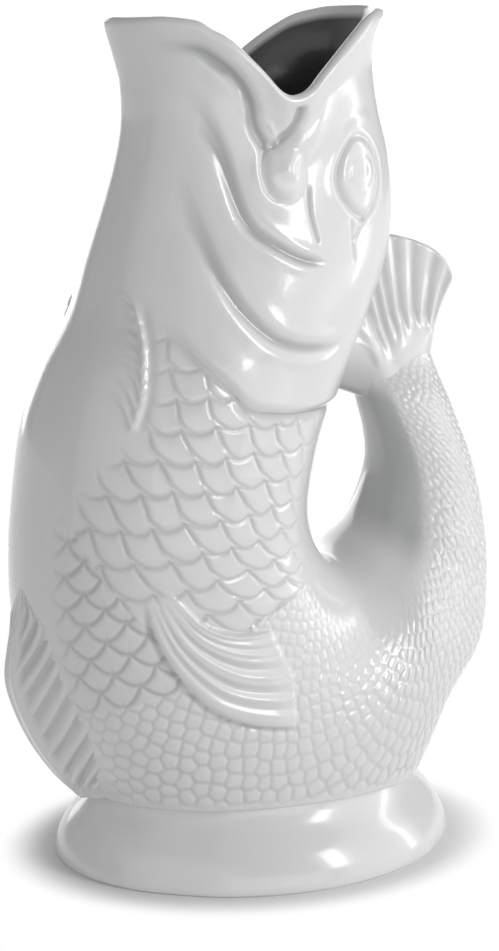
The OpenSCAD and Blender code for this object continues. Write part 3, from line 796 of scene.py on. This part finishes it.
def foot_outline(angle, reach):
    """Point of the foot's oval, whose ends and sides are arcs of circles.

    The arcs meet on a slope of three to four, and are blended there. reach is
    how far the ring lies inside the foot's rim.
    """
    end_x = 4 * OVAL_STEP
    side_y = 3 * OVAL_STEP
    end_radius = FOOT_LENGTH / 2 - end_x - reach
    side_radius = FOOT_WIDTH / 2 + side_y - reach
    c = np.cos(angle)
    s = np.sin(angle)
    at_end = smooth(np.abs(c) * 0.6 - np.abs(s) * 0.8, -ARC_BLEND, ARC_BLEND)
    lean = np.abs(c) * end_x
    from_end = lean + np.sqrt(np.maximum(lean ** 2 - end_x ** 2 + end_radius ** 2, 0))
    lean = -np.abs(s) * side_y
    from_side = lean + np.sqrt(np.maximum(lean ** 2 - side_y ** 2 + side_radius ** 2, 0))
    r = from_side + (from_end - from_side) * at_end
    return r * c + FOOT_SHIFT, r * s


def make_foot():
    """The oval foot ring: rolled rim, shoulder, cove at the neck, open below."""
    angle = np.linspace(0, 2 * np.pi, 361)
    profile = along(np.array(FOOT_PROFILE_SHARES),
                    np.linspace(0, len(FOOT_PROFILE_SHARES) - 1, 61))
    reach = (1 - profile[:, 0]) * FOOT_DRAW
    level = profile[:, 1] * FOOT_HEIGHT
    above = level > FOOT_EDGE
    neck = FOOT_DRAW + FOOT_WALL
    reach = np.concatenate([[FOOT_WALL], FOOT_EDGE * (1 - np.sin(FOOT_EDGE_ANGLES)),
                            reach[above], [neck + FOOT_TOP_STEP, neck, FOOT_WALL]])
    level = np.concatenate([[0.0], FOOT_EDGE * (1 - np.cos(FOOT_EDGE_ANGLES)), level[above],
                            [FOOT_HEIGHT + FOOT_TOP_RISE, FOOT_HEIGHT - FOOT_TOP_SEAT, 0.0]])
    rows = []
    for inward, height in zip(reach, level):
        x, y = foot_outline(angle, inward)
        rows.append(np.stack([x, y, np.full(x.shape, height)], axis=-1))
    return grid_object("foot_ring", np.array(rows))


# Tail fan and belly fin


FAN_ROOT_SHARES = np.array([[0.256, 0.522], [0.310, 0.566], [0.390, 0.580]])
FAN_TIP_SHARES = np.array([[0.146, 0.549], [0.196, 0.640], [0.230, 0.704],
                           [0.270, 0.722], [0.332, 0.720], [0.411, 0.700],
                           [0.456, 0.668]])
FAN_BEND = 1.35
FAN_RIBS = 9
FAN_STEM = 7.6
FAN_ROOT_THICK = 5.0
FAN_EDGE_THICK = 2.6
FAN_GROOVE = 1.0
FAN_SIDE_ROUND = 18
FAN_RIM_START = 0.955
FAN_CORNER = 0.82
FAN_CORNER_DROP = 0.10
FAN_WEB_ROOT = 8.4
FAN_WEB_THINNING = 2.6
FAN_BOW = 0.36
FAN_BOW_NARROWING = 0.24
FAN_PAINTED_SHADE = 0.8


def rounded(share):
    """A quarter circle's height over its share, 0 at the edge and 1 past it."""
    return np.sqrt(np.clip(1 - (1 - np.minimum(1, share)) ** 2, 0, 1))


def fan_place(u, v):
    """Point of the fan in the jug's middle plane, from root to edge."""
    root = along(FAN_ROOT_SHARES, u * (len(FAN_ROOT_SHARES) - 1))
    tip = along(FAN_TIP_SHARES, u * (len(FAN_TIP_SHARES) - 1))
    x = root[..., 0] + (tip[..., 0] - root[..., 0]) * v ** FAN_BEND
    z = root[..., 1] + (tip[..., 1] - root[..., 1]) * v
    return FOOT_SHIFT + x * BODY_LENGTH, z * JUG_HEIGHT


def make_tail_fan():
    """A thick fan with soft ribs that run from the tail to its edge.

    u runs from the loop's side to the back, v from the root to the edge. A
    smooth web joins the tail to the head along the loop.
    """
    u = np.linspace(0, 1, 241)
    v = np.concatenate([np.linspace(0, 0.96, 90), [0.975, 0.987, 0.995, 1.0]])
    uu, vv = np.meshgrid(u, v)
    past = np.clip(2 * uu - 1 - FAN_CORNER, 0, 1) / (1 - FAN_CORNER)
    corner = FAN_CORNER_DROP * (1 - np.sqrt(np.clip(1 - past ** 2, 0, 1)))
    x, z = fan_place(uu, vv * (1 - corner))
    rib = (1 - np.cos(2 * np.pi * FAN_RIBS * uu)) / 2
    thick = FAN_ROOT_THICK + (FAN_EDGE_THICK - FAN_ROOT_THICK) * smooth(vv, 0, 0.8)
    ends = rounded(FAN_SIDE_ROUND * np.minimum(uu, 1 - uu))
    rim = np.sqrt(np.clip(1 - np.clip((vv - FAN_RIM_START) / (1 - FAN_RIM_START), 0, 1) ** 2,
                          0, 1))
    plate = (thick - FAN_GROOVE * rib ** 0.7 * smooth(vv, 0.12, 0.40)) * ends * rim
    stem = FAN_STEM * np.sqrt(np.clip(1 - (2 * uu - 1) ** 2, 0, 1))
    half = plate + (np.maximum(stem, plate) - plate) * (1 - smooth(vv, 0.02, 0.42))
    bow = FAN_BOW - FAN_BOW_NARROWING * vv
    web = (FAN_WEB_ROOT - FAN_WEB_THINNING * vv) * rounded(uu / bow)
    half = half + (np.maximum(web, half) - half) * (1 - smooth(uu, 0.6 * bow, 1.3 * bow))
    front = np.stack([x, -half, z], axis=-1)
    back = np.stack([x, half, z], axis=-1)
    # Painted shade in the valleys between the ribs, and on the web along the tail loop's
    # inner side
    painted_shade = rib * smooth(vv, 0.15, 0.4) * FAN_PAINTED_SHADE
    painted_shade = np.maximum(painted_shade, 1 - smooth(uu, 0.15 * bow, 0.8 * bow))
    places = np.concatenate([front, back[-2::-1], front[:1]])
    painted_shades = np.concatenate([painted_shade, painted_shade[-2::-1], painted_shade[:1]])
    return grid_object("tail_fan_cast", places, painted_shades)


BELLY_FIN_ENDS = [11.4, 14.15]
BELLY_FIN_RISE_SHARES = [[0.02], [0.24], [0.60], [0.96], [1.00], [0.90], [0.66], [0.34]]
BELLY_FIN_RISE = 9.0
BELLY_FIN_REACH = [[3.0], [15.0], [20.0], [22.0], [24.0], [26.0], [22.0], [11.0]]
BELLY_FIN_RIB = 7.4
BELLY_FIN_SLANT = 22.0
BELLY_FIN_CREST = 0.13
BELLY_FIN_FOOT = 0.90
BELLY_FIN_BEAD = 0.9
BELLY_FIN_RIB_HEIGHT = 1.70
BELLY_FIN_SEAM = 1.1
BELLY_FIN_TUCK = 1.2
BELLY_FIN_UNDER = 2.5
BELLY_FIN_PAINTED_SHADE = 0.6
BELLY_FIN_BOTTOM = FOOT_HEIGHT - 1.0


def make_belly_fin():
    """A keel down the belly: a round free edge and ribs that slant up its sides."""
    share = np.linspace(0, 1, 300)
    swell = along(BELLY_FIN_RISE_SHARES, share * (len(BELLY_FIN_RISE_SHARES) - 1))
    profile = np.linspace(-1, 1, 121)
    ss, pp = np.meshgrid(share, profile, indexing="ij")
    side = np.abs(pp)
    flank = np.clip((side - BELLY_FIN_CREST) / (BELLY_FIN_FOOT - BELLY_FIN_CREST), 0, 1)
    lift = np.where(side < BELLY_FIN_CREST, 1 - 0.05 * (side / BELLY_FIN_CREST) ** 2,
                    0.95 * (1 - flank) ** 1.08)
    station = BELLY_FIN_ENDS[0] + (BELLY_FIN_ENDS[1] - BELLY_FIN_ENDS[0]) * ss
    reach = along(BELLY_FIN_REACH, share * (len(BELLY_FIN_REACH) - 1))
    turn = 180 - reach * np.sign(pp) * side
    place, out = skin_frame(station, turn)[:2]
    middle = len(profile) // 2
    down = distance_down(fish_section(station[:, middle], turn[:, middle]))
    phase = (down[:, None] + BELLY_FIN_SLANT * side) / BELLY_FIN_RIB
    pleat = phase - np.floor(phase)
    rib = smooth(pleat, 0.0, 0.72) * (1 - smooth(pleat, 0.82, 1.0))
    on_flank = (smooth(side, 0.17, 0.27) * smooth(1 - side, 0.04, 0.20)
                * smooth(1 - ss, 0.02, 0.10))
    bead = BELLY_FIN_BEAD * hump(side - BELLY_FIN_CREST, 0.06)
    grow = np.minimum(1, 3 * swell)
    rise = BELLY_FIN_RISE * swell * lift
    rise = rise + (bead + BELLY_FIN_RIB_HEIGHT * (rib - 0.6) * on_flank) * grow
    rise = rise - BELLY_FIN_SEAM * grow * hump(side - 0.92, 0.07)
    rise = rise - BELLY_FIN_TUCK * smooth(side, 0.95, 1.0)
    surface = place + out * rise[..., None]
    under = (place - out * BELLY_FIN_UNDER)[:, ::-1]
    places = np.concatenate([surface, under, surface[:, :1]], axis=1)
    places[..., 2] = np.maximum(places[..., 2], BELLY_FIN_BOTTOM)
    top, bottom = (np.broadcast_to(end.mean(axis=1, keepdims=True), end.shape)
                   for end in (places[:1], places[-1:]))
    places = np.concatenate([top, places, bottom])
    # Painted shade in the valleys between the fin's ribs
    painted_shade = (1 - rib) * on_flank * BELLY_FIN_PAINTED_SHADE
    painted_shades = np.concatenate([painted_shade, np.zeros(painted_shade.shape), painted_shade[:, :1]], axis=1)
    painted_shades = np.concatenate([painted_shades[:1], painted_shades, painted_shades[-1:]])
    return grid_object("belly_fin_cast", places, painted_shades)


# Glaze


class Signal:
    """A value inside a shader; Python's operators add its Math nodes."""

    def __init__(self, shader, socket):
        self.shader = shader
        self.socket = socket

    def _math(self, operation, *values):
        """The outcome of one Math node."""
        return self.shader.node("ShaderNodeMath", {"operation": operation},
                                dict(enumerate(values)))

    def __add__(self, other):
        return self._math("ADD", self, other)

    __radd__ = __add__

    def __mul__(self, other):
        return self._math("MULTIPLY", self, other)

    __rmul__ = __mul__

    def __sub__(self, other):
        return self._math("SUBTRACT", self, other)

    def __rsub__(self, other):
        return self._math("SUBTRACT", other, self)

    def or_more(self, other):
        """The larger of this value and another."""
        return self._math("MAXIMUM", self, other)


class Shader:
    """The nodes of a material or of the world, with one way to add a node."""

    def __init__(self, owner):
        self.owner = owner
        owner.use_nodes = True
        self.tree = owner.node_tree
        self.tree.nodes.clear()

    def node(self, kind, settings=None, values=None, output=0):
        """Adds a node, sets it, fills its sockets and gives one output."""
        made = self.tree.nodes.new(kind)
        for name, value in (settings or {}).items():
            setattr(made, name, value)
        for key, value in (values or {}).items():
            socket = made.inputs[key]
            if isinstance(value, Signal):
                self.tree.links.new(value.socket, socket)
            else:
                socket.default_value = value
        return Signal(self, made.outputs[output]) if made.outputs else None

    def is_ray(self, kind):
        """1 where a ray of that kind sees the surface, and 0 elsewhere."""
        return self.node("ShaderNodeLightPath", output=f"Is {kind} Ray")


def new_material(name):
    """An empty material, ready for its nodes."""
    return Shader(bpy.data.materials.new(name))


GLAZE_WHITE = (0.80, 0.80, 0.795, 1)
# Painted shade: the grey that grooves, rib valleys and the tail loop's inner side are painted
# towards
PAINTED_SHADE_GREY = (0.47, 0.475, 0.48, 1)
# Painted shade: near black, painted on the jug's inside
PAINTED_INSIDE_SHADE_COLOUR = (0.065, 0.065, 0.067, 1)
GLAZE_ROUGHNESS = 0.17
# How strongly the painted shade greys the glaze
PAINTED_SHADE_TONE = 0.85
DRIFT_TONE = 0.10
DRIFT_ROUGHNESS = 0.06
RIPPLE_HEIGHT = 0.75
SPECK_HEIGHT = 0.25
COAT_OUTSIDE = 0.38
COAT_INSIDE = 0.10


def make_glaze():
    """White glaze: glassy, faintly wavy, greyed by painted shade in its grooves, its fins'
    rib valleys and on the tail loop's inner side, and near black with painted shade inside.
    """
    glaze = new_material("white_glaze")
    place = glaze.node("ShaderNodeTexCoord", output="Object")
    painted_shade = glaze.node("ShaderNodeAttribute", {"attribute_name": "painted_shade_amount"}, output="Fac")
    drift = glaze.node("ShaderNodeTexNoise", {"noise_dimensions": "3D"},
                       {"Vector": place, "Scale": 22.0, "Detail": 3.0, "Roughness": 0.55})
    speck = glaze.node("ShaderNodeTexNoise", {"noise_dimensions": "3D"},
                       {"Vector": place, "Scale": 900.0, "Detail": 2.0, "Roughness": 0.6})
    inside_shade = glaze.node("ShaderNodeAttribute", {"attribute_name": "painted_inside_shade"}, output="Fac")
    # Painted shade from grooves, rib valleys and the loop, plus the glaze's random drift in
    # tone
    shade_and_drift = painted_shade * PAINTED_SHADE_TONE + drift * DRIFT_TONE
    outer_colour = glaze.node("ShaderNodeMix", {"data_type": "RGBA"},
                              {0: shade_and_drift, 6: GLAZE_WHITE, 7: PAINTED_SHADE_GREY}, output=2)
    colour = glaze.node("ShaderNodeMix", {"data_type": "RGBA"},
                        {0: inside_shade, 6: outer_colour, 7: PAINTED_INSIDE_SHADE_COLOUR}, output=2)
    ripple = glaze.node("ShaderNodeTexNoise", {"noise_dimensions": "3D"},
                        {"Vector": place, "Scale": 130.0, "Detail": 3.0, "Roughness": 0.5})
    height = ripple * RIPPLE_HEIGHT + speck * SPECK_HEIGHT
    bump = glaze.node("ShaderNodeBump", {}, {"Strength": 0.22, "Distance": 0.0006,
                                             "Height": height})
    coat = COAT_OUTSIDE - inside_shade * (COAT_OUTSIDE - COAT_INSIDE)
    roughness = drift * DRIFT_ROUGHNESS + GLAZE_ROUGHNESS
    surface = glaze.node("ShaderNodeBsdfPrincipled", {}, {
        "Base Color": colour, "Roughness": roughness, "IOR": 1.5, "Coat Weight": coat,
        "Coat Roughness": 0.05, "Normal": bump})
    glaze.node("ShaderNodeOutputMaterial", {}, {"Surface": surface})
    return glaze.owner


# Stage, lamps and camera


WHITE = (1, 1, 1, 1)
FLOOR_COLOUR = (0.93, 0.93, 0.93, 1)
FLOOR_HALF = 6
SHADOW_NEAR = 1.0
SHADOW_FAR = 1.28


def make_floor():
    """A pale floor that keeps the jug's shadow and shows white beyond it.

    The shadow ends between SHADOW_NEAR and SHADOW_FAR times the foot's oval.
    """
    bm = bmesh.new()
    bmesh.ops.create_grid(bm, x_segments=1, y_segments=1, size=FLOOR_HALF)
    mesh = bpy.data.meshes.new("floor")
    bm.to_mesh(mesh)
    bm.free()
    floor = bpy.data.objects.new("floor", mesh)
    bpy.context.scene.collection.objects.link(floor)
    pale = new_material("pale_floor")
    lit = pale.node("ShaderNodeBsdfDiffuse", {}, {"Color": FLOOR_COLOUR})
    white = pale.node("ShaderNodeEmission", {}, {"Color": WHITE, "Strength": 1.0})
    place = pale.node("ShaderNodeTexCoord", output="Object")
    foot_shares = (2 / (FOOT_LENGTH * MM), 2 / (FOOT_WIDTH * MM), 1)
    scaled = pale.node("ShaderNodeVectorMath", {"operation": "MULTIPLY"},
                       {0: place, 1: foot_shares})
    reach = pale.node("ShaderNodeVectorMath", {"operation": "LENGTH"}, {0: scaled},
                      output="Value")
    far = pale.node("ShaderNodeMapRange", {"interpolation_type": "SMOOTHSTEP"},
                    {"Value": reach, "From Min": SHADOW_NEAR, "From Max": SHADOW_FAR})
    seen = pale.is_ray("Camera") + pale.is_ray("Glossy") + pale.is_ray("Transmission")
    surface = pale.node("ShaderNodeMixShader", {}, {0: far * seen, 1: lit, 2: white})
    pale.node("ShaderNodeOutputMaterial", {}, {"Surface": surface})
    floor.data.materials.append(pale.owner)


WORLD_LIGHT = 0.14
WORLD_GLOSS = 0.30


def make_world():
    """White for the camera, dimmer for reflections and dimmer still as light."""
    sky = Shader(bpy.data.worlds.new("studio"))
    bpy.context.scene.world = sky.owner
    dim = sky.node("ShaderNodeBackground", {}, {"Color": WHITE, "Strength": WORLD_LIGHT})
    white = sky.node("ShaderNodeBackground", {}, {"Color": WHITE, "Strength": 1.0})
    clear = (sky.is_ray("Glossy") * WORLD_GLOSS).or_more(sky.is_ray("Transmission"))
    seen = sky.is_ray("Camera").or_more(clear)
    light = sky.node("ShaderNodeMixShader", {}, {0: seen, 1: dim, 2: white})
    sky.node("ShaderNodeOutputWorld", {}, {"Surface": light})


LAMPS = {
    "key_softbox": {"place": (1.1, -0.70, 0.45), "aim": (0, 0, 0.14), "size": (1.5, 1.4),
                    "watts": 7.8},
    "key_window": {"place": (0.55, -0.95, 0.62), "aim": (0, 0, 0.14), "size": (0.22, 0.5),
                   "watts": 3.1},
    "side_window": {"place": (1.15, -0.25, 0.35), "aim": (0, 0, 0.12), "size": (0.10, 0.8),
                    "watts": 1.3},
    "front_fill": {"place": (-0.1, -1.4, 0.25), "aim": (0, 0, 0.10), "size": (1.4, 0.5),
                   "watts": 2.6},
    "side_box": {"place": (-1.5, -0.9, 0.70), "aim": (0, 0, 0.12), "size": (2.4, 1.4),
                 "watts": 6.6},
    "back_box": {"place": (-1.3, 1.0, 0.70), "aim": (0, 0, 0.14), "size": (1.8, 1.3),
                 "watts": 1.8},
    "rear_box": {"place": (0.5, 1.5, 0.40), "aim": (0, 0, 0.12), "size": (1.6, 1.0),
                 "watts": 10.0},
}


def make_lamps():
    """Large soft lamps about the jug."""
    for name, lamp in LAMPS.items():
        light = bpy.data.lights.new(name, "AREA")
        light.shape = "RECTANGLE"
        light.size, light.size_y = lamp["size"]
        light.energy = lamp["watts"]
        holder = bpy.data.objects.new(name, light)
        bpy.context.scene.collection.objects.link(holder)
        place = Vector(lamp["place"])
        holder.location = place
        aim = Vector(lamp["aim"]) - place
        holder.rotation_euler = aim.to_track_quat("-Z", "Y").to_euler()


CAMERA_PLACE = Vector((-0.3997, -0.6928, 0.2850))
CAMERA_AIM = Vector((0.0003, 0.0, 0.12347))
LENS = 94.02
SENSOR = 36.0
SIDE_SHIFT = -0.0036


def make_camera():
    """The photograph's view: level with the fish's mouth, from the front left."""
    data = bpy.data.cameras.new("camera")
    data.lens = LENS
    data.sensor_width = SENSOR
    data.sensor_fit = "AUTO"
    data.shift_x = SIDE_SHIFT
    camera = bpy.data.objects.new("camera", data)
    bpy.context.scene.collection.objects.link(camera)
    camera.location = CAMERA_PLACE
    camera.rotation_euler = (CAMERA_AIM - CAMERA_PLACE).to_track_quat("-Z", "Y").to_euler()
    bpy.context.scene.camera = camera


# The jug


GLAZE = make_glaze()


def add_piece(piece, *nodes):
    """Gives a piece its glaze and its place on the jug, and hides the CAD parts of the nodes
    it shows.
    """
    piece.data.materials.append(GLAZE)
    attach(piece, "root")
    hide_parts(*nodes)


def make_jug():
    """Every cast piece of the jug."""
    rim = level_line(0.0)
    belly = level_line(BELLY_STATION)
    flank = level_line(FLANK_STATION)
    base = level_line(BASE_STATION)
    tail = level_line(TAIL_STATION)
    tail_end = level_line(float(LAST_STATION))
    add_piece(cast_length("head_cast", rim, gill_line, step=0.66, columns=420, lip=True),
              "head_shell", "left_gill_cover", "right_gill_cover",
              "left_jaw_bone", "right_jaw_bone", "left_eye", "right_eye")
    add_piece(cast_length("belly_cast", gill_line, belly, step=0.50, columns=600),
              "belly_shell", "left_throat_fin", "right_throat_fin")
    add_piece(cast_length("flank_cast", belly, flank, step=0.42, columns=600),
              "left_side_fin", "right_side_fin")
    add_piece(cast_length("low_flank_cast", flank, base, step=0.50, columns=600))
    add_piece(cast_length("base_cast", base, tail, step=0.60, columns=500))
    add_piece(cast_length("tail_cast", tail, tail_end, step=0.55, columns=340, closed=True),
              "tail_handle")
    add_piece(make_tail_fan(), "tail_fan")
    add_piece(make_belly_fin(), "belly_fin")
    add_piece(make_foot(), "foot")


make_jug()
make_floor()
make_world()
make_lamps()
make_camera()
bpy.context.scene.view_settings.view_transform = "Standard"
